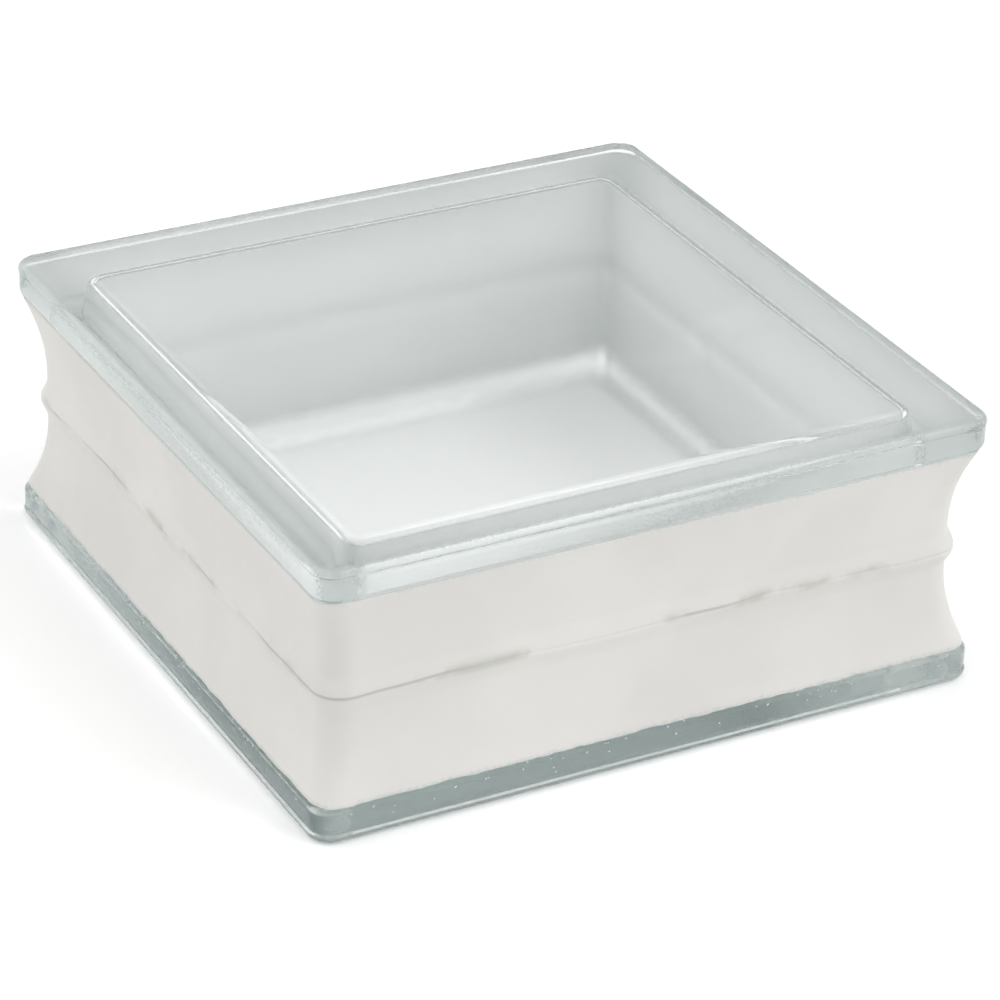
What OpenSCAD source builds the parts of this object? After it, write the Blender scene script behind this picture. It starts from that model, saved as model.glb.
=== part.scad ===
// Hollow glass block for walls. Two pressed glass shells are fused rim to rim on a seam at mid height.
// The four edges are recessed between plain glass lips and carry an opaque coating that grips mortar.
// The block lies on one face, centred on the origin, with that face at z = 0. Lengths in millimetres.

/* [Block] */
// Width and length of the square faces
block_w = 196.85; // [185:0.05:205]
// Thickness from face to face
block_t = 79.375; // [76:0.125:100]

/* [Glass] */
// Thickness of each face plate
face_t = 6.5; // [5.5:0.1:8]
// Outside of the lip to the hollow, at the face plate
hollow_inset = 15; // [14:0.1:17]
// Widening of the hollow from the face plate to the seam, on each side
hollow_draft = 2.5; // [1:0.1:3]
// Plan radius of the hollow's corners at the face plate
hollow_corner_r = 6; // [5.5:0.1:9]
// Radius between the hollow's walls and the face plate
hollow_fillet_r = 5; // [3:0.1:5]

/* [Edge] */
// Height of the plain lip beside each face
lip_h = 8.7; // [7:0.1:10]
// Plan radius of the lip's corners
lip_corner_r = 6.5; // [5:0.1:8]
// Rounding of the lip's outer edge at the face
lip_edge_r = 2; // [1:0.1:3]
// Depth of the recess below the lips
key_depth = 5.6; // [4:0.1:6.2]
// Ledge under each lip where the recess curve meets it
lip_step = 0.5; // [0.3:0.1:1]
// Half height of the flat floor of the recess
key_flat = 8; // [7.6:0.1:10]
// Lip plane to the centre of the wall's corner curve
wall_corner_c = 13; // [12:0.1:14]

/* [Seam] */
// Height of the raised bead along the seam
bead_h = 11; // [8:0.1:13]
// How far the bead stands out from the floor of the recess
bead_out = 1.7; // [1:0.1:2.5]
// Depth of the groove where the two shells meet
seam_v = 0.4; // [0.2:0.1:0.8]

/* [Coating] */
// Thickness of the edge coating
coat_t = 0.4; // [0.2:0.1:0.4]
// Bare glass between the coating and the lip
coat_gap = 1; // [1:0.1:3]

/* [Hidden] */
$fa = 4;
$fs = 0.6;
half_w = block_w / 2;
half_t = block_t / 2;
// Recess curve: an arc from the edge of the flat floor to the underside of the lip
key_top = half_t - lip_h;
key_rise = key_top - key_flat;
key_sag = key_depth - lip_step;
key_r = (key_rise * key_rise + key_sag * key_sag) / (2 * key_sag);
floor_x = wall_corner_c - key_depth;
// Bead arc through its two feet and its crest
bead_r = (bead_h * bead_h / 4 + bead_out * bead_out) / (2 * bead_out);
crest_x = floor_x + bead_out;
// Hollow: drafted wall, then a fillet tangent to the wall and to the face plate
ceil_z = half_t - face_t;
hollow_top_x = hollow_corner_r;
hollow_seam_x = hollow_corner_r + hollow_draft;
wall_len = sqrt(ceil_z * ceil_z + hollow_draft * hollow_draft);
norm_x = ceil_z / wall_len;
norm_z = hollow_draft / wall_len;
fillet_x = hollow_top_x - hollow_fillet_r * (1 - norm_z) / norm_x;
fillet_z = ceil_z - hollow_fillet_r;
hollow_c = half_w - hollow_inset - hollow_corner_r;
coat_top = key_top - coat_gap;

// Carries a side profile (x outward, y up) round a square with corner centres at +-c
module round_square(c) {
  for (q = [0:3]) {
    rotate([0, 0, 90 * q])
      translate([c, 0, 0])
        rotate([90, 0, 0])
          linear_extrude(height = 2 * c, center = true)
            children();
    rotate([0, 0, 90 * q])
      translate([c, c, 0])
        rotate_extrude(angle = 90)
          children();
  }
}

// Recessed wall above the seam, from the corner centre line out to the coated surface
module wall_side() {
  difference() {
    union() {
      difference() {
        square([wall_corner_c - lip_step / 2, key_top]);
        translate([floor_x + key_r, key_flat])
          circle(r = key_r, $fn = 240);
        translate([floor_x, -1])
          square([key_depth + 1, key_flat + 1]);
      }
      intersection() {
        translate([crest_x - bead_r, 0])
          circle(r = bead_r, $fn = 96);
        square([crest_x + 1, bead_h / 2 + 1]);
      }
    }
    polygon([[crest_x - seam_v, -1], [crest_x + 2, -1], [crest_x + 2, seam_v + 2], [crest_x - seam_v, 0]]);
  }
}

// Plain lip with its outer edge rounded towards the face
module lip_side() {
  translate([0, key_top])
    square([lip_corner_r, lip_h - lip_edge_r]);
  translate([0, key_top])
    square([lip_corner_r - lip_edge_r, lip_h]);
  translate([lip_corner_r - lip_edge_r, half_t - lip_edge_r])
    circle(r = lip_edge_r, $fn = 48);
}

// Side of the hollow, from the seam up to the inside of the face plate
module hollow_side() {
  polygon([
    [0, 0],
    [hollow_seam_x, 0],
    [fillet_x + hollow_fillet_r * norm_x, fillet_z + hollow_fillet_r * norm_z],
    [fillet_x, fillet_z],
    [fillet_x, ceil_z],
    [0, ceil_z]
  ]);
  intersection() {
    translate([fillet_x, fillet_z])
      circle(r = hollow_fillet_r, $fn = 72);
    translate([fillet_x, 0])
      square([hollow_fillet_r + 1, ceil_z]);
  }
}

module block_core(c, z0, z1) {
  translate([-c, -c, z0])
    cube([2 * c, 2 * c, z1 - z0]);
}

// One pressed shell, open towards the seam at z = 0
module shell() {
  wall_c = half_w - wall_corner_c;
  lip_c = half_w - lip_corner_r;
  difference() {
    union() {
      round_square(wall_c)
        wall_side();
      block_core(wall_c, 0, key_top);
      round_square(lip_c)
        lip_side();
      block_core(lip_c, key_top, half_t);
    }
    union() {
      round_square(hollow_c)
        hollow_side();
      block_core(hollow_c, 0, ceil_z);
    }
  }
}

// Half of the coating's section: the wall's outer skin between the seam and the lip
module coat_side() {
  intersection() {
    difference() {
      translate([coat_t, 0])
        wall_side();
      wall_side();
    }
    translate([floor_x / 2, 0])
      square([wall_corner_c, coat_top]);
  }
}

module upper_half() {
  color([0.72, 0.85, 0.82, 0.35])
    translate([0, 0, half_t])
      shell();
}

module lower_half() {
  color([0.70, 0.83, 0.80, 0.35])
    translate([0, 0, half_t])
      mirror([0, 0, 1])
        shell();
}

module edge_coating() {
  color([0.88, 0.88, 0.86])
    translate([0, 0, half_t])
      round_square(half_w - wall_corner_c) {
        coat_side();
        mirror([0, 1])
          coat_side();
      }
}

upper_half();
lower_half();
edge_coating();
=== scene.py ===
"""Looks for a hollow square glass block with white coated edges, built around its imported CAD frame."""

import math
import random

import bmesh
import bpy
from bpy.props import FloatProperty, FloatVectorProperty, IntProperty, PointerProperty
from bpy.types import Operator, Panel, PropertyGroup
from mathutils import Matrix, Vector, noise


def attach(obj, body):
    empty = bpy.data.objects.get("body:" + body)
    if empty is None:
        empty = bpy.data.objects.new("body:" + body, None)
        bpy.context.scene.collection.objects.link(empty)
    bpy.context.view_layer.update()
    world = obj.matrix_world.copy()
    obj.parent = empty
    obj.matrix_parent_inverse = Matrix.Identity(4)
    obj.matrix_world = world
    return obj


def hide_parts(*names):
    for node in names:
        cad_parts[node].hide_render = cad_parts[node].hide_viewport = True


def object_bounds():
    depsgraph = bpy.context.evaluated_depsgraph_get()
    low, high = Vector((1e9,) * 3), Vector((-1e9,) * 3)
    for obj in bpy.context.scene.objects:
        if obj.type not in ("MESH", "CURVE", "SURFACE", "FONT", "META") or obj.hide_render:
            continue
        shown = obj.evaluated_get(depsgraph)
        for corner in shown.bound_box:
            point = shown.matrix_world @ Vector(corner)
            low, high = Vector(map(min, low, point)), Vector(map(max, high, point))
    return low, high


bl_info = {
    "name": "Glass block builder",
    "version": (1, 0, 0),
    "blender": (4, 5, 0),
    "location": "3D View > Sidebar > Glass block",
    "description": "Builds the fused glass shell and the edge coating of a hollow glass block",
    "category": "Add Mesh",
}

MM = 0.001
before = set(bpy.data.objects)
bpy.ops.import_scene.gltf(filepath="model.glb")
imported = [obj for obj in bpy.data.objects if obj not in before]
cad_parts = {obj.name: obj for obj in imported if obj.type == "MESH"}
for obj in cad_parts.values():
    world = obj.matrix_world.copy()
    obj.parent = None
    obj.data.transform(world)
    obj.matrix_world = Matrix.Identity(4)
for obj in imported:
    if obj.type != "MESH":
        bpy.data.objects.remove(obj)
CAD_LOW, CAD_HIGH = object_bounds()
HALF_WIDTH = (CAD_HIGH.x - CAD_LOW.x) / 2
HALF_DEPTH = (CAD_HIGH.z - CAD_LOW.z) / 2
MID_Z = (CAD_HIGH.z + CAD_LOW.z) / 2

# Directions out of the block point away from its core, which lies this far behind the lip plane.
CORE_DEPTH = 14 * MM
# The seam's wander fades out this far above and below the seam.
SEAM_REACH = 16 * MM
# Uneven surfaces are sums of waves. A wave is its height, its length and its seed.
SEAM_WAVES = ((1.5 * MM, 60 * MM, 3.1), (0.55 * MM, 14 * MM, 7.7))
HOLLOW_WAVES = ((0.10 * MM, 45 * MM, 5.3), (0.012 * MM, 14 * MM, 1.9))
# The border's waves are shares of the wander that the settings give.
BORDER_WAVES = ((0.7, 40 * MM, 4.4), (0.5, 9 * MM, 8.8), (0.5, 3 * MM, 6.1))

# Heights of the rings on the wall, in millimetres from the seam. The glass and the coating share the body's.
UPPER_RINGS = (31.0, 30, 28.5, 26.5)
BODY_RINGS = (24, 21.5, 19, 16.5, 14, 11.5, 9.5, 8, 7, 6, 5, 4, 3, 2, 1.2)
GLASS_SEAM_RINGS = (0.6,)
COATING_SEAM_RINGS = (0.7, 0.4, 0.18)
# Rings at the coating's border, in millimetres in from it.
COATING_BORDER_RINGS = (0.0, 0.25, 0.6, 1.1, 1.7, 2.6, 3.8)

# Grains of the finishes: how many grains to a metre, the detail in them and the detail's roughness.
LIP_GRAIN = (900.0, 1.5, 0.6)
PAINT_CLOUD = (18.0, 3.0, 0.55)
PAINT_BRUSHING = (420.0, 4.0, 0.65)
PAINT_MOTTLE = (1300.0, 3.0, 0.6)
SEAM_PATCHES = (34.0, 2.5, 0.5)
SMUDGE_PATCHES = (60.0, 3.0, 0.6)
BOND_CLOUD = (22.0, 3.0, 0.55)


# ---------------------------------------------------------------- settings


class GlassShape(PropertyGroup):
    """Sizes of the fused glass shell."""

    lip_height: FloatProperty(
        name="Lip height", description="Bare glass band beside each face",
        default=8.7 * MM, unit="LENGTH")
    lip_radius: FloatProperty(
        name="Lip corner radius", description="Plan radius of the lips' corners",
        default=6.5 * MM, unit="LENGTH")
    edge_radius: FloatProperty(
        name="Edge rounding", description="Rounding between a face and its lip",
        default=2.0 * MM, unit="LENGTH")
    parting: FloatProperty(
        name="Parting step", description="Step behind the mould's parting line on each lip",
        default=0.3 * MM, unit="LENGTH")
    key_depth: FloatProperty(
        name="Recess depth", description="Depth of the mortar recess between the lips",
        default=5.6 * MM, unit="LENGTH")
    key_flat: FloatProperty(
        name="Recess floor", description="Half height of the flat floor of the recess",
        default=8.0 * MM, unit="LENGTH")
    lip_step: FloatProperty(
        name="Lip step", description="Ledge under each lip where the recess begins",
        default=0.5 * MM, unit="LENGTH")
    bead_out: FloatProperty(
        name="Bead height", description="How far the fused bead stands out of the recess floor",
        default=1.5 * MM, unit="LENGTH")
    bead_half: FloatProperty(
        name="Bead half width", description="Half height of the fused bead",
        default=5.8 * MM, unit="LENGTH")
    wall_radius: FloatProperty(
        name="Wall corner radius", description="Plan radius of the wall's corners in the recess",
        default=8.0 * MM, unit="LENGTH")
    plate: FloatProperty(
        name="Face thickness", description="Thickness of each face plate",
        default=6.5 * MM, unit="LENGTH")
    hollow_inset: FloatProperty(
        name="Hollow inset", description="Lip plane to the hollow at the face plate",
        default=15.0 * MM, unit="LENGTH")
    hollow_draft: FloatProperty(
        name="Hollow draft", description="Widening of the hollow from the plate to the seam",
        default=2.5 * MM, unit="LENGTH")
    hollow_radius: FloatProperty(
        name="Hollow corner radius", description="Plan radius of the hollow's corners",
        default=6.0 * MM, unit="LENGTH")
    hollow_fillet: FloatProperty(
        name="Hollow fillet", description="Radius between the hollow's walls and a face plate",
        default=3.6 * MM, unit="LENGTH")
    side_cuts: IntProperty(
        name="Side cuts", description="Cuts along each side", default=80, min=8, max=200)
    corner_steps: IntProperty(
        name="Corner steps", description="Points round each corner", default=10, min=4, max=24)


class CoatingShape(PropertyGroup):
    """Sizes of the edge coating."""

    thickness: FloatProperty(
        name="Thickness", description="Thickness of the coating on the glass",
        default=0.35 * MM, unit="LENGTH")
    grip: FloatProperty(
        name="Grip", description="How far the coating keys into the glass skin",
        default=0.12 * MM, unit="LENGTH")
    gap: FloatProperty(
        name="Gap to the lip", description="Bare glass between the coating and a lip",
        default=0.9 * MM, unit="LENGTH")
    rag_up: FloatProperty(
        name="Ragged edge, upper", description="Wander of the coating's border at the upper lip",
        default=0.35 * MM, unit="LENGTH")
    rag_down: FloatProperty(
        name="Ragged edge, lower", description="Wander of the coating's border at the lower lip",
        default=0.9 * MM, unit="LENGTH")
    flecks: IntProperty(
        name="Flecks", description="Specks of coating on the lower lip", default=170, min=0, max=900)
    side_cuts: IntProperty(
        name="Side cuts", description="Cuts along each side", default=119, min=8, max=200)


class Finish(PropertyGroup):
    """Colours and optical values."""

    glass_tint: FloatVectorProperty(
        name="Glass tint", description="Colour left in light that crosses the glass",
        subtype="COLOR", size=3, min=0, max=1, default=(0.46, 0.56, 0.55))
    glass_density: FloatProperty(
        name="Glass density", description="Strength of the glass tint per metre",
        default=6.6, min=0)
    glass_ior: FloatProperty(
        name="Glass index", description="Refractive index of the glass", default=1.52, min=1, max=2)
    lining_roughness: FloatProperty(
        name="Lining roughness", description="Roughness that the press leaves on the hollow's skin",
        default=0.09, min=0, max=1)
    lip_tone: FloatVectorProperty(
        name="Lip tone", description="Colour left in light that crosses the lips' pressed skin",
        subtype="COLOR", size=3, min=0, max=1, default=(0.88, 0.905, 0.905))
    lip_roughness: FloatProperty(
        name="Lip roughness", description="Roughness of the lips' sides", default=0.22, min=0, max=1)
    coating: FloatVectorProperty(
        name="Coating", description="Colour of the edge coating",
        subtype="COLOR", size=3, min=0, max=1, default=(0.668, 0.657, 0.632))
    bond: FloatVectorProperty(
        name="Bonded face", description="Colour of the coating where it is seen through the glass",
        subtype="COLOR", size=3, min=0, max=1, default=(0.97, 0.965, 0.955))
    worn_border: FloatVectorProperty(
        name="Worn border", description="Colour of the coating where its border is worn thin on the glass",
        subtype="COLOR", size=3, min=0, max=1, default=(0.42, 0.50, 0.49))
    floor: FloatVectorProperty(
        name="Floor", description="Colour of the floor",
        subtype="COLOR", size=3, min=0, max=1, default=(0.96, 0.96, 0.96))


class Studio(PropertyGroup):
    """Camera and light."""

    azimuth: FloatProperty(
        name="Azimuth", description="Camera's turn about the block",
        default=math.radians(-28.886), subtype="ANGLE")
    elevation: FloatProperty(
        name="Elevation", description="Camera's height above the floor plane",
        default=math.radians(28.789), subtype="ANGLE")
    roll: FloatProperty(
        name="Roll", description="Camera's roll about its line of sight",
        default=math.radians(1.917), subtype="ANGLE")
    distance: FloatProperty(
        name="Distance", description="Camera to the middle of the block",
        default=1177.3 * MM, unit="LENGTH")
    shift_right: FloatProperty(
        name="Truck", description="Camera's move to its right", default=4.246 * MM, unit="LENGTH")
    shift_up: FloatProperty(
        name="Pedestal", description="Camera's move upwards", default=-9.633 * MM, unit="LENGTH")
    lens: FloatProperty(
        name="Lens", description="Focal length in millimetres on a 36 mm sensor",
        default=154.67, min=10, max=400)
    horizon: FloatProperty(
        name="Side fill", description="Brightness of the soft light near the horizon", default=0.38, min=0)
    overhead: FloatProperty(
        name="Overhead", description="Brightness of the soft light from above", default=1.08, min=0)
    side_glow: FloatProperty(
        name="Side glow", description="Extra brightness of the broad soft light on each side",
        default=0.88, min=0)
    key_glow: FloatProperty(
        name="Key glow", description="Extra brightness of the small light that draws the highlights",
        default=5.5, min=0)


def settings(context):
    """The four groups of settings, in the order shape, coating, finish, studio."""
    scene = context.scene
    return scene.glass_shape, scene.coating_shape, scene.block_finish, scene.block_studio


# ---------------------------------------------------------------- mesh tools


def corners(verts):
    """The verts of each of the four corners, with the corner's direction in x and y."""
    for side_x in (-1, 1):
        for side_y in (-1, 1):
            yield side_x, side_y, [v for v in verts if v.co.x * side_x > 0 and v.co.y * side_y > 0]


def stack_rings(bm, levels, steps, closed=False):
    """Builds a wall from rounded-square rings. A level is height from the middle, inset and corner radius."""
    height, inset, radius = levels[0]
    count = 4 * steps
    slice_angle = math.tau / count
    place = Matrix.Translation((0, 0, MID_Z + height)) @ Matrix.Rotation(slice_angle / 2, 4, "Z")
    made = bmesh.ops.create_circle(
        bm, cap_ends=False, radius=radius / math.cos(slice_angle / 2), segments=count, matrix=place)
    reach = HALF_WIDTH - inset - radius
    for side_x, side_y, verts in corners(made["verts"]):
        bmesh.ops.translate(bm, verts=verts, vec=(side_x * reach, side_y * reach, 0))
    ring = list({e for v in made["verts"] for e in v.link_edges})
    for next_height, next_inset, next_radius in levels[1:] + (levels[:1] if closed else []):
        grown = bmesh.ops.extrude_edge_only(bm, edges=ring)["geom"]
        fresh = {g for g in grown if isinstance(g, bmesh.types.BMVert)}
        ring = [g for g in grown if isinstance(g, bmesh.types.BMEdge) and set(g.verts) <= fresh]
        ratio = next_radius / radius
        next_reach = HALF_WIDTH - next_inset - next_radius
        for side_x, side_y, verts in corners(fresh):
            centre = Vector((side_x * reach, side_y * reach, 0))
            step = Vector((side_x, side_y, 0)) * (next_reach - reach)
            step.z = next_height - height
            bmesh.ops.scale(bm, verts=verts, vec=(ratio, ratio, 1), space=Matrix.Translation(-centre))
            bmesh.ops.translate(bm, verts=verts, vec=step)
        height, radius, reach = next_height, next_radius, next_reach
    if closed:
        bmesh.ops.remove_doubles(bm, verts=bm.verts, dist=0.001 * MM)


def cut_sides(bm, cuts):
    """Divides the long straight edges so that the sides can follow small waves."""
    long_edges = [e for e in bm.edges if e.calc_length() > HALF_WIDTH]
    bmesh.ops.subdivide_edges(bm, edges=long_edges, cuts=cuts, use_grid_fill=True)


def farthest(vert):
    """A vert's distance from the block's upright axis, square to the sides."""
    return max(abs(vert.co.x), abs(vert.co.y))


def outward(x, y):
    """Unit direction in plan from the block's core to a point on its side."""
    core = HALF_WIDTH - CORE_DEPTH
    reach = Vector((max(abs(x) - core, 0), max(abs(y) - core, 0), 0))
    reach.x = math.copysign(reach.x, x)
    reach.y = math.copysign(reach.y, y)
    return reach.normalized()


def wave(point, length, seed):
    """Smooth repeatable noise, about -1 to 1, with the given wavelength."""
    return noise.noise(point / length + Vector((seed, 2 * seed, -seed)))


def wander(point, waves):
    """The sum of several waves at a point."""
    return sum(height * wave(point, length, seed) for height, length, seed in waves)


def smooth(value):
    """Eases from 0 to 1 as the value goes from 0 to 1, and stays level outside."""
    value = min(max(value, 0.0), 1.0)
    return value * value * (3 - 2 * value)


def wall_inset(shape, height):
    """How far the wall lies behind the lip plane at a height from the seam."""
    height = abs(height)
    top = HALF_DEPTH - shape.lip_height
    rise = top - shape.key_flat
    sag = shape.key_depth - shape.lip_step
    radius = (rise * rise + sag * sag) / (2 * sag)
    if height >= top:
        return shape.lip_step
    if height > shape.key_flat:
        return shape.key_depth - radius + math.sqrt(radius ** 2 - (height - shape.key_flat) ** 2)
    if height > shape.bead_half:
        return shape.key_depth
    crown = (1 + math.cos(math.pi * height / shape.bead_half)) / 2
    return shape.key_depth - shape.bead_out * crown


def wall_corner(shape, height):
    """Plan radius of the wall's corner at a height from the seam."""
    top = HALF_DEPTH - shape.lip_height
    return shape.wall_radius + (shape.lip_radius - shape.wall_radius) * smooth(abs(height) / top)


def follow_seam(verts):
    """Moves the bead up or down with the seam's wander, fading out up and down the wall."""
    for v in verts:
        height = v.co.z - MID_Z
        if abs(height) < SEAM_REACH:
            drift = wander(Vector((v.co.x, v.co.y, 0)), SEAM_WAVES)
            v.co.z += drift * (1 - smooth(abs(height) / SEAM_REACH))


def finish_mesh(bm, name, materials):
    """Turns the bmesh into an object at the origin, shaded smooth."""
    mesh = bpy.data.meshes.new(name)
    bm.to_mesh(mesh)
    bm.free()
    for polygon in mesh.polygons:
        polygon.use_smooth = True
    for material in materials:
        mesh.materials.append(material)
    piece = bpy.data.objects.new(name, mesh)
    bpy.context.scene.collection.objects.link(piece)
    return piece


# ---------------------------------------------------------------- node tools


def new_material(name):
    """A material with a Principled shader, its nodes and its links."""
    material = bpy.data.materials.new(name)
    material.use_nodes = True
    return material, material.node_tree.nodes, material.node_tree.links


def add_place(nodes):
    """The place on the piece, which every pattern is read from."""
    return nodes.new("ShaderNodeTexCoord").outputs["Object"]


def add_mark(nodes, name):
    """One of the marks that the mesh carries for its colour."""
    node = nodes.new("ShaderNodeAttribute")
    node.attribute_name = name
    return node.outputs["Fac"]


def add_noise(nodes, links, vector, scale, detail, roughness):
    """Soft noise, about 0 to 1."""
    node = nodes.new("ShaderNodeTexNoise")
    node.inputs["Scale"].default_value = scale
    node.inputs["Detail"].default_value = detail
    node.inputs["Roughness"].default_value = roughness
    links.new(vector, node.inputs["Vector"])
    return node.outputs["Fac"]


def add_math(nodes, links, operation, *values):
    """One sum on numbers or sockets."""
    node = nodes.new("ShaderNodeMath")
    node.operation = operation
    for socket, value in zip(node.inputs, values):
        if isinstance(value, (int, float)):
            socket.default_value = value
        else:
            links.new(value, socket)
    return node.outputs[0]


def add_range(nodes, links, value, low, high, to_low=0.0, to_high=1.0):
    """Eases from to_low to to_high as the value goes from low to high."""
    node = nodes.new("ShaderNodeMapRange")
    node.interpolation_type = "SMOOTHSTEP"
    links.new(value, node.inputs["Value"])
    node.inputs["From Min"].default_value = low
    node.inputs["From Max"].default_value = high
    node.inputs["To Min"].default_value = to_low
    node.inputs["To Max"].default_value = to_high
    return node.outputs["Result"]


def add_mix(nodes, links, factor, first, second):
    """Mixes two colours. Each one is a colour or a socket."""
    node = nodes.new("ShaderNodeMix")
    node.data_type = "RGBA"
    links.new(factor, node.inputs["Factor"])
    colour_sockets = [socket for socket in node.inputs if socket.type == "RGBA"]
    for socket, value in zip(colour_sockets, (first, second)):
        if isinstance(value, tuple):
            socket.default_value = (*value, 1.0)
        else:
            links.new(value, socket)
    return next(socket for socket in node.outputs if socket.type == "RGBA")


def add_bump(nodes, links, height, strength, distance, normal=None):
    """Bumps of the given distance, on top of another normal if there is one."""
    node = nodes.new("ShaderNodeBump")
    node.inputs["Strength"].default_value = strength
    node.inputs["Distance"].default_value = distance
    links.new(height, node.inputs["Height"])
    if normal is not None:
        links.new(normal, node.inputs["Normal"])
    return node.outputs["Normal"]


# ---------------------------------------------------------------- materials


def add_depths(nodes, links, place):
    """Distances from the block's upright axis, square to its sides, and from its middle height."""
    split = nodes.new("ShaderNodeSeparateXYZ")
    links.new(place, split.inputs[0])
    out_x = add_math(nodes, links, "ABSOLUTE", split.outputs["X"])
    out_y = add_math(nodes, links, "ABSOLUTE", split.outputs["Y"])
    reach = add_math(nodes, links, "MAXIMUM", out_x, out_y)
    rise = add_math(nodes, links, "SUBTRACT", split.outputs["Z"], MID_Z)
    return reach, add_math(nodes, links, "ABSOLUTE", rise)


def pressed_glass(shape, finish):
    """Clear pressed glass: polished faces, a rougher skin on the lips and in the hollow, a faint tint."""
    # The lip's skin fades in towards the lip plane. The hollow's skin fades out behind its wall and ceiling.
    lip_begins, lip_full = HALF_WIDTH - 4.0 * MM, HALF_WIDTH - 1.5 * MM
    hollow_wall = HALF_WIDTH - shape.hollow_inset + shape.hollow_draft
    ceiling = HALF_DEPTH - shape.plate
    lining_full, lining_gone = 1.5 * MM, 3.5 * MM
    ceiling_full, ceiling_gone = 1.0 * MM, 3.0 * MM
    grain_strength, grain_depth = 0.45, 0.2 * MM

    material, nodes, links = new_material("pressed_glass")
    shader = nodes["Principled BSDF"]
    shader.distribution = "GGX"
    shader.inputs["IOR"].default_value = finish.glass_ior
    shader.inputs["Transmission Weight"].default_value = 1.0
    place = add_place(nodes)
    reach, height = add_depths(nodes, links, place)

    on_lip = add_range(nodes, links, reach, lip_begins, lip_full)
    tone = add_mix(nodes, links, on_lip, (1.0, 1.0, 1.0), tuple(finish.lip_tone))
    links.new(tone, shader.inputs["Base Color"])
    grain = add_noise(nodes, links, place, *LIP_GRAIN)
    lip_grain = add_math(nodes, links, "MULTIPLY", grain, on_lip)
    links.new(add_bump(nodes, links, lip_grain, grain_strength, grain_depth), shader.inputs["Normal"])

    in_plan = add_range(
        nodes, links, reach, hollow_wall + lining_full, hollow_wall + lining_gone, 1.0, 0.0)
    in_height = add_range(nodes, links, height, ceiling + ceiling_full, ceiling + ceiling_gone, 1.0, 0.0)
    lining = add_math(nodes, links, "MULTIPLY", in_plan, in_height)
    inner_skin = add_math(nodes, links, "MULTIPLY", lining, finish.lining_roughness)
    outer_skin = add_math(nodes, links, "MULTIPLY", on_lip, finish.lip_roughness)
    links.new(add_math(nodes, links, "ADD", inner_skin, outer_skin), shader.inputs["Roughness"])

    body = nodes.new("ShaderNodeVolumeAbsorption")
    body.inputs["Color"].default_value = (*finish.glass_tint, 1)
    body.inputs["Density"].default_value = finish.glass_density
    links.new(body.outputs[0], nodes["Material Output"].inputs["Volume"])
    return material


def add_cloud(nodes, links, place, grain, body, darkening):
    """A body colour with faint darker clouds in it, and the clouds' own noise."""
    edges = (0.35, 0.65)
    cloud = add_noise(nodes, links, place, *grain)
    shade = tuple(c * darkening for c in body)
    return add_mix(nodes, links, add_range(nodes, links, cloud, *edges), body, shade), cloud


def add_seam_line_and_shade(nodes, links, place, colour, line):
    """The broken dark line on the seam, a dark joint that is partly painted shade along the seam, and the
    smudges beside it.
    """
    patch_edges, stain_edges = (0.43, 0.60), (0.46, 0.66)
    smudge_strength = 0.75
    patches = add_noise(nodes, links, place, *SEAM_PATCHES)
    patch = add_range(nodes, links, patches, *patch_edges)
    # The seam mark darkens the coating into the dark seam line: a dark joint, and partly painted shade along
    # the seam.
    share = add_math(nodes, links, "MULTIPLY", add_mark(nodes, "seam"), patch)
    colour = add_mix(nodes, links, share, colour, line)
    stains = add_noise(nodes, links, place, *SMUDGE_PATCHES)
    stain = add_range(nodes, links, stains, *stain_edges, 0.0, smudge_strength)
    share = add_math(nodes, links, "MULTIPLY", add_mark(nodes, "smudge"), stain)
    return add_mix(nodes, links, share, colour, line)


def add_worn_border(nodes, links, place, colour, worn_colour):
    """Specks of wear along the coating's borders."""
    speck_contrast, wear_strength = 1.6, 0.5
    wear_edges = (0.75, 1.15)
    mottle = add_noise(nodes, links, place, *PAINT_MOTTLE)
    specks = add_math(nodes, links, "SUBTRACT", mottle, 0.5)
    specks = add_math(nodes, links, "MULTIPLY", specks, speck_contrast)
    broken = add_math(nodes, links, "ADD", add_mark(nodes, "border"), specks)
    worn = add_range(nodes, links, broken, *wear_edges)
    worn = add_math(nodes, links, "MULTIPLY", worn, wear_strength)
    return add_mix(nodes, links, worn, colour, worn_colour)


def edge_paint(finish):
    """Matte off-white coating: faint brushing, a broken grey seam line that is partly painted shade along the
    seam, and a worn border.
    """
    cloud_darkening = 0.94
    # The seam line's darkening is a dark joint and partly painted shade along the seam.
    seam_line_and_shade_darkening = (0.66, 0.68, 0.65)
    brush_edges, smoothest, roughest = (0.3, 0.7), 0.62, 0.8
    cloud_strength, cloud_depth = 0.12, 0.5 * MM
    brush_strength, brush_depth = 0.25, 0.08 * MM

    material, nodes, links = new_material("edge_paint")
    shader = nodes["Principled BSDF"]
    place = add_place(nodes)
    body = tuple(finish.coating)
    line = tuple(c * share for c, share in zip(body, seam_line_and_shade_darkening))
    colour, cloud = add_cloud(nodes, links, place, PAINT_CLOUD, body, cloud_darkening)
    colour = add_seam_line_and_shade(nodes, links, place, colour, line)
    colour = add_worn_border(nodes, links, place, colour, tuple(finish.worn_border))
    links.new(colour, shader.inputs["Base Color"])
    shader.inputs["Specular IOR Level"].default_value = 0.35

    brushing = add_noise(nodes, links, place, *PAINT_BRUSHING)
    roughness = add_range(nodes, links, brushing, *brush_edges, smoothest, roughest)
    links.new(roughness, shader.inputs["Roughness"])
    normal = add_bump(nodes, links, cloud, cloud_strength, cloud_depth)
    normal = add_bump(nodes, links, brushing, brush_strength, brush_depth, normal)
    links.new(normal, shader.inputs["Normal"])
    return material


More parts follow.
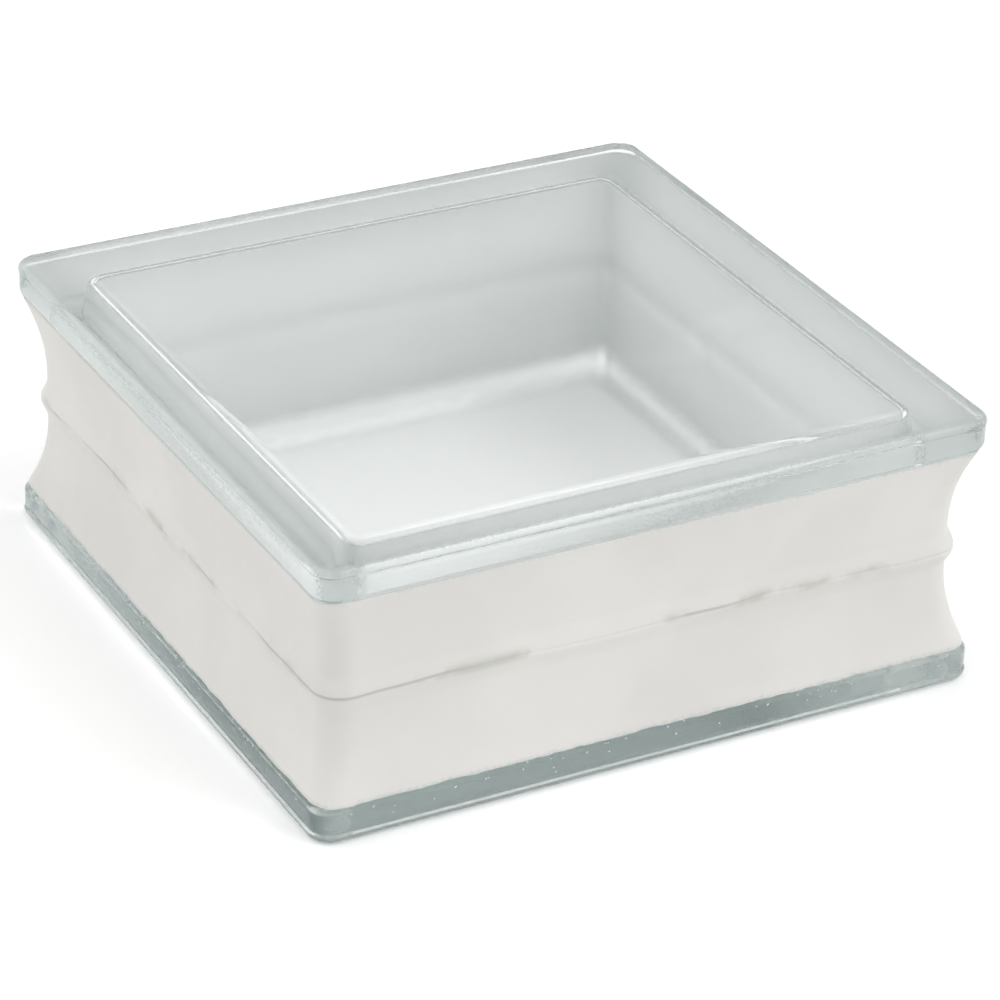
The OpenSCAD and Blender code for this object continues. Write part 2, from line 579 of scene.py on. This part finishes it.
def bonded_paint(finish):
    """The coating's face against the glass: dense white with a faint brushed cloud."""
    cloud_darkening = 0.97
    material, nodes, links = new_material("bonded_paint")
    shader = nodes["Principled BSDF"]
    colour, _ = add_cloud(nodes, links, add_place(nodes), BOND_CLOUD, tuple(finish.bond), cloud_darkening)
    links.new(colour, shader.inputs["Base Color"])
    shader.inputs["Roughness"].default_value = 0.7
    shader.inputs["Specular IOR Level"].default_value = 0.1
    return material


def floor_card(finish):
    """Plain matte card for the floor."""
    material, nodes, _ = new_material("floor_card")
    shader = nodes["Principled BSDF"]
    shader.inputs["Base Color"].default_value = (*finish.floor, 1)
    shader.inputs["Roughness"].default_value = 0.9
    shader.inputs["Specular IOR Level"].default_value = 0.1
    return material


# ---------------------------------------------------------------- glass


def outer_levels(shape):
    """Levels of the glass skin from the lower face to the upper one."""
    face_margin, edge_steps = 0.8 * MM, 6
    line_below, groove_below, lip_below = 0.1 * MM, 0.45 * MM, 1.1 * MM
    groove_share = 2.3
    lip_middle, lip_foot, foot_corner, foot_bevel = 4 * MM, 0.6 * MM, 0.15 * MM, 0.1 * MM

    top = HALF_DEPTH - shape.lip_height
    edge = shape.edge_radius
    radius = shape.lip_radius
    levels = [(HALF_DEPTH, edge + face_margin, radius - edge - face_margin)]
    for step in range(edge_steps + 1):
        turn = math.radians(90 * step / edge_steps)
        inset = edge * (1 - math.sin(turn))
        levels.append((HALF_DEPTH - edge * (1 - math.cos(turn)), inset, radius - inset))

    # The parting line stands out, with a groove behind it, and the lip's side runs on a step further in.
    line = HALF_DEPTH - edge
    side, groove = shape.parting, groove_share * shape.parting
    levels.append((line - line_below, 0.0, radius))
    levels.append((line - groove_below, groove, radius - groove))
    levels.append((line - lip_below, side, radius - side))
    levels.append((top + lip_middle, side, radius - side))
    levels.append((top + lip_foot, side, radius - side))
    levels.append((top + foot_corner, side + foot_bevel, radius - side))

    for height in UPPER_RINGS + BODY_RINGS + GLASS_SEAM_RINGS:
        height = min(height * MM, top)
        levels.append((height, wall_inset(shape, height), wall_corner(shape, height)))
    mirrored = [(-z, inset, corner) for z, inset, corner in levels]
    middle = [(0.0, wall_inset(shape, 0), wall_corner(shape, 0))]
    return mirrored + middle + levels[::-1]


def hollow_levels(shape):
    """Levels of the sealed hollow, from its floor to its ceiling."""
    ceiling_margin, fillet_steps = 0.6 * MM, 10
    wall_shares = (0.85, 0.7, 0.55, 0.4, 0.25, 0.12)

    ceiling = HALF_DEPTH - shape.plate
    wall = math.hypot(ceiling, shape.hollow_draft)
    lean_x, lean_z = ceiling / wall, shape.hollow_draft / wall
    fillet = shape.hollow_fillet
    centre_inset = shape.hollow_inset + fillet * (1 - lean_z) / lean_x
    centre_z = ceiling - fillet
    corner_line = shape.hollow_inset + shape.hollow_radius
    levels = [(ceiling, centre_inset + ceiling_margin, corner_line - centre_inset - ceiling_margin)]
    start = math.asin(lean_z)
    for step in range(fillet_steps + 1):
        turn = math.pi / 2 + (start - math.pi / 2) * step / fillet_steps
        inset = centre_inset - fillet * math.cos(turn)
        levels.append((centre_z + fillet * math.sin(turn), inset, corner_line - inset))
    foot = levels[-1][0]
    for share in wall_shares:
        height = foot * share
        inset = shape.hollow_inset - shape.hollow_draft * (1 - height / ceiling)
        levels.append((height, inset, corner_line - inset))
    mirrored = [(-z, inset, corner) for z, inset, corner in levels]
    inset = shape.hollow_inset - shape.hollow_draft
    middle = [(0.0, inset, corner_line - inset)]
    return mirrored + middle + levels[::-1]


def swell_hollow(verts):
    """The uneven skin that the press leaves on the hollow's walls."""
    for v in verts:
        v.co -= outward(v.co.x, v.co.y) * wander(v.co, HOLLOW_WAVES)


def model_glass(shape):
    """The outer skin and the sealed hollow, as one closed body."""
    # The wall's inner and outer skins lie to each side of this distance from the block's axis.
    between, plate_margin = HALF_WIDTH - 11 * MM, 0.3 * MM
    bm = bmesh.new()
    stack_rings(bm, outer_levels(shape), shape.corner_steps)
    stack_rings(bm, hollow_levels(shape), shape.corner_steps)
    cut_sides(bm, shape.side_cuts)
    walls = [v for v in bm.verts if abs(v.co.z - MID_Z) < HALF_DEPTH - shape.plate - plate_margin]
    follow_seam([v for v in walls if farthest(v) >= between])
    swell_hollow([v for v in walls if farthest(v) < between])
    open_edges = [e for e in bm.edges if e.is_boundary]
    bmesh.ops.holes_fill(bm, edges=open_edges, sides=0)
    if any(not e.is_manifold for e in bm.edges):
        raise RuntimeError("the glass isn't closed")
    return bm


def face_glass(bm, shape):
    """Turns every face away from the glass: the skin outwards, and the lining into the hollow."""
    bmesh.ops.recalc_face_normals(bm, faces=bm.faces)
    margin = 1 * MM
    room = HALF_WIDTH - shape.hollow_inset + shape.hollow_draft + margin
    ceiling = HALF_DEPTH - margin
    lining = [
        f for f in bm.faces
        if all(farthest(v) < room and abs(v.co.z - MID_Z) < ceiling for v in f.verts)
    ]
    bmesh.ops.reverse_faces(bm, faces=lining)


class GLASSBLOCK_OT_glass(Operator):
    """Model both pressed shells as the one fused body that they are after sealing."""

    bl_idname = "glass_block.build_glass"
    bl_label = "Build glass"

    def execute(self, context):
        shape, _, finish, _ = settings(context)
        bm = model_glass(shape)
        face_glass(bm, shape)
        glass = finish_mesh(bm, "fused_glass", [pressed_glass(shape, finish)])
        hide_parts("upper_half", "lower_half")
        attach(glass, "root")
        return {"FINISHED"}


# ---------------------------------------------------------------- coating


def coating_top(shape, coat):
    """Height of the coating's upper border from the seam. The lower one mirrors it."""
    return HALF_DEPTH - shape.lip_height - coat.gap


def coating_rings(shape, coat):
    """Levels of the coating's closed section: up its outer face, and down its face against the glass."""
    border_share, border_run = 0.25, 1.2 * MM
    top = coating_top(shape, coat)
    upper = [top - step * MM for step in COATING_BORDER_RINGS]
    upper += [height * MM for height in BODY_RINGS + COATING_SEAM_RINGS]
    outer, inner = [], []
    for height in [-h for h in upper] + [0.0] + upper[::-1]:
        taper = border_share + (1 - border_share) * smooth((top - abs(height)) / border_run)
        inset, radius = wall_inset(shape, height), wall_corner(shape, height)
        skin = coat.thickness * taper
        outer.append((height, inset - skin, radius + skin))
        inner.append((height, inset + coat.grip, radius - coat.grip))
    return outer + inner[::-1]


def mark(bm, shape, coat):
    """Writes where the seam and the borders are, for the coating's colour."""
    line_half, smudge_half, border_run = 0.75 * MM, 2.6 * MM, 3.2 * MM
    seam = bm.verts.layers.float.new("seam")
    smudge = bm.verts.layers.float.new("smudge")
    border = bm.verts.layers.float.new("border")
    top = coating_top(shape, coat)
    for v in bm.verts:
        height = abs(v.co.z - MID_Z)
        v[seam] = 1 - smooth(height / line_half)
        v[smudge] = 1 - smooth(height / smudge_half)
        v[border] = smooth((height - top + border_run) / border_run)


def dig_seam(bm):
    """A narrow groove along the seam, deeper in places."""
    groove_depth, groove_half = 0.3 * MM, 0.5 * MM
    usual_share, wave_share, wave_length, seed = 0.6, 0.5, 20 * MM, 9.2
    for v in bm.verts:
        height = abs(v.co.z - MID_Z)
        if height < groove_half:
            depth = groove_depth * (usual_share + wave_share * wave(v.co, wave_length, seed))
            v.co -= outward(v.co.x, v.co.y) * depth * (1 - height / groove_half)


def fray(bm, shape, coat):
    """Wanders the coating's two borders up and down the wall, keeping it on the glass."""
    frayed_run, usual_share, wave_share, gap_share = 5 * MM, 0.35, 0.6, 0.8
    # Each border reads the waves at a height of its own, so that the two differ.
    reading_height = 0.05
    top = coating_top(shape, coat)
    highest = top + gap_share * coat.gap
    for v in bm.verts:
        height = v.co.z - MID_Z
        weight = smooth((abs(height) - top + frayed_run) / frayed_run)
        if weight == 0:
            continue
        rag = coat.rag_up if height > 0 else coat.rag_down
        reading = Vector((v.co.x, v.co.y, math.copysign(reading_height, height)))
        inward = rag * (usual_share + wander(reading, BORDER_WAVES) * wave_share)
        new_height = math.copysign(min(abs(height) - weight * inward, highest), height)
        v.co -= outward(v.co.x, v.co.y) * (wall_inset(shape, new_height) - wall_inset(shape, height))
        v.co.z = MID_Z + new_height


def face_bond(bm):
    """Gives the faces against the glass, which point into the block, the second material."""
    inward_dot = -0.3
    for face in bm.faces:
        middle = face.calc_center_median()
        if face.normal.dot(outward(middle.x, middle.y)) < inward_dot:
            face.material_index = 1


def add_flecks(bm, shape, coat):
    """Specks of coating left on the glass below the lower border."""
    seed, spread, farthest_down = 41, 1.6, 5.5 * MM
    half_widths, half_heights = (0.15, 0.5), (0.1, 0.28)
    half_thickness, sunk, most_tilt = 0.09 * MM, 0.04 * MM, 0.6
    draw = random.Random(seed)
    top = HALF_DEPTH - shape.lip_height
    run = HALF_WIDTH - shape.lip_radius
    for _ in range(coat.flecks):
        side = draw.randrange(4)
        along = draw.uniform(-run, run)
        height = -(top - coat.gap + min(abs(draw.gauss(0, spread)) * MM, farthest_down))
        wide = draw.uniform(*half_widths) * MM
        tall = draw.uniform(*half_heights) * MM
        inset = wall_inset(shape, height) if abs(height) < top else shape.parting
        turn = Matrix.Rotation(side * math.pi / 2, 4, "Z")
        place = Matrix.Translation((HALF_WIDTH - inset - sunk, along, MID_Z + height))
        tilt = Matrix.Rotation(draw.uniform(-most_tilt, most_tilt), 4, "X")
        size = Matrix.Diagonal((half_thickness, wide, tall, 1))
        made = bmesh.ops.create_icosphere(bm, subdivisions=1, radius=1, matrix=turn @ place @ tilt @ size)
        for v in made["verts"]:
            v.co.x = min(max(v.co.x, -HALF_WIDTH), HALF_WIDTH)
            v.co.y = min(max(v.co.y, -HALF_WIDTH), HALF_WIDTH)


class GLASSBLOCK_OT_coating(Operator):
    """Model the brushed coating that wraps the recessed edges."""

    bl_idname = "glass_block.build_coating"
    bl_label = "Build edge coating"

    def execute(self, context):
        shape, coat, finish, _ = settings(context)
        bm = bmesh.new()
        stack_rings(bm, coating_rings(shape, coat), shape.corner_steps, closed=True)
        cut_sides(bm, coat.side_cuts)
        mark(bm, shape, coat)
        dig_seam(bm)
        fray(bm, shape, coat)
        follow_seam(bm.verts)
        if any(not e.is_manifold for e in bm.edges):
            raise RuntimeError("the coating isn't closed")
        bmesh.ops.recalc_face_normals(bm, faces=bm.faces)
        face_bond(bm)
        add_flecks(bm, shape, coat)
        coating = finish_mesh(bm, "brushed_coating", [edge_paint(finish), bonded_paint(finish)])
        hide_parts("edge_coating")
        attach(coating, "root")
        return {"FINISHED"}


# ---------------------------------------------------------------- stage


def lay_floor(scene, finish):
    """A wide card just under the block."""
    half_size, drop = 6, 0.3 * MM
    bm = bmesh.new()
    bmesh.ops.create_grid(
        bm, x_segments=1, y_segments=1, size=half_size, matrix=Matrix.Translation((0, 0, -drop)))
    mesh = bpy.data.meshes.new("studio_floor")
    bm.to_mesh(mesh)
    bm.free()
    mesh.materials.append(floor_card(finish))
    floor = bpy.data.objects.new("studio_floor", mesh)
    scene.collection.objects.link(floor)


def sky_lights(studio):
    """The sky's soft lights: direction, full angle and outer angle in degrees, and strength."""
    left, right, key = (-0.68, 0.60, 0.42), (0.69, -0.63, 0.36), (0.42, -0.48, 0.77)
    right_share = 1.1
    return (
        (left, 15, 55, studio.side_glow),
        (right, 15, 55, right_share * studio.side_glow),
        (key, 5.5, 8.5, studio.key_glow),
    )


def add_glow(nodes, links, direction, aim, inner, outer, strength):
    """A round soft light on the sky: full inside the inner angle and gone at the outer one, in degrees."""
    toward = nodes.new("ShaderNodeVectorMath")
    toward.operation = "DOT_PRODUCT"
    links.new(direction, toward.inputs[0])
    toward.inputs[1].default_value = Vector(aim).normalized()
    low, high = math.cos(math.radians(outer)), math.cos(math.radians(inner))
    return add_range(nodes, links, toward.outputs["Value"], low, high, 0.0, strength)


def light_sky(scene, studio):
    """A white sky that brightens upwards, with round soft lights in it."""
    world = bpy.data.worlds.new("studio_air")
    scene.world = world
    world.use_nodes = True
    nodes, links = world.node_tree.nodes, world.node_tree.links
    direction = nodes.new("ShaderNodeTexCoord").outputs["Generated"]
    split = nodes.new("ShaderNodeSeparateXYZ")
    links.new(direction, split.inputs[0])
    light = add_range(nodes, links, split.outputs["Z"], 0.0, 1.0, studio.horizon, studio.overhead)
    for aim, inner, outer, strength in sky_lights(studio):
        glow = add_glow(nodes, links, direction, aim, inner, outer, strength)
        light = add_math(nodes, links, "ADD", light, glow)
    links.new(light, nodes["Background"].inputs["Strength"])
    nodes["Background"].inputs["Color"].default_value = (1, 1, 1, 1)
    # The sky is soft and the block is mostly clear, so aiming rays at the sky only costs time.
    world.cycles.sampling_method = "NONE"


def set_camera(scene, studio):
    """The camera on its circle about the block's middle, trucked and raised a little."""
    turn = (Matrix.Rotation(studio.azimuth, 4, "Z")
            @ Matrix.Rotation(math.pi / 2 - studio.elevation, 4, "X"))
    right, up, back = (turn.col[i].to_3d() for i in range(3))
    place = Vector((0, 0, MID_Z)) + back * studio.distance
    place += right * studio.shift_right + up * studio.shift_up
    lens = bpy.data.cameras.new("studio_camera")
    lens.lens = studio.lens
    lens.sensor_width = 36
    lens.clip_start = 0.05
    camera = bpy.data.objects.new("studio_camera", lens)
    camera.matrix_world = Matrix.Translation(place) @ turn @ Matrix.Rotation(studio.roll, 4, "Z")
    scene.collection.objects.link(camera)
    scene.camera = camera


def follow_light(scene):
    """Lets light run its whole way through the glass."""
    # Light that has crossed a rough face is kept sharp, because blurring it darkens the hollow.
    scene.cycles.blur_glossy = 0.0
    # The lips pass light on by many inner reflections, and each one counts as glossy.
    scene.cycles.max_bounces = 48
    scene.cycles.glossy_bounces = 48
    scene.cycles.transmission_bounces = 32
    scene.cycles.diffuse_bounces = 6


class GLASSBLOCK_OT_stage(Operator):
    """Set the floor, the soft light and the camera."""

    bl_idname = "glass_block.build_stage"
    bl_label = "Build stage"

    def execute(self, context):
        _, _, finish, studio = settings(context)
        scene = context.scene
        lay_floor(scene, finish)
        light_sky(scene, studio)
        set_camera(scene, studio)
        follow_light(scene)
        scene.view_settings.view_transform = "Standard"
        return {"FINISHED"}


# ---------------------------------------------------------------- panel and registration

class GLASSBLOCK_PT_panel(Panel):
    """Settings and build buttons for the glass block."""

    bl_idname = "GLASSBLOCK_PT_panel"
    bl_label = "Glass block"
    bl_space_type = "VIEW_3D"
    bl_region_type = "UI"
    bl_category = "Glass block"

    def draw(self, context):
        """Lists every setting, then the build buttons."""
        for group in settings(context):
            box = self.layout.box()
            for name in group.__annotations__:
                box.prop(group, name)
        for operator in OPERATORS:
            self.layout.operator(operator.bl_idname)


GROUPS = (GlassShape, CoatingShape, Finish, Studio)
OPERATORS = (GLASSBLOCK_OT_glass, GLASSBLOCK_OT_coating, GLASSBLOCK_OT_stage)
CLASSES = GROUPS + OPERATORS + (GLASSBLOCK_PT_panel,)


def register():
    """Adds the add-on's classes and gives the scene its settings."""
    for cls in CLASSES:
        bpy.utils.register_class(cls)
    bpy.types.Scene.glass_shape = PointerProperty(type=GlassShape)
    bpy.types.Scene.coating_shape = PointerProperty(type=CoatingShape)
    bpy.types.Scene.block_finish = PointerProperty(type=Finish)
    bpy.types.Scene.block_studio = PointerProperty(type=Studio)


def unregister():
    """Takes away what register added."""
    del bpy.types.Scene.block_studio
    del bpy.types.Scene.block_finish
    del bpy.types.Scene.coating_shape
    del bpy.types.Scene.glass_shape
    for cls in reversed(CLASSES):
        bpy.utils.unregister_class(cls)


def main():
    """Builds the block and its stage."""
    register()
    bpy.ops.glass_block.build_glass()
    bpy.ops.glass_block.build_coating()
    bpy.ops.glass_block.build_stage()


if __name__ == "__main__":
    main()
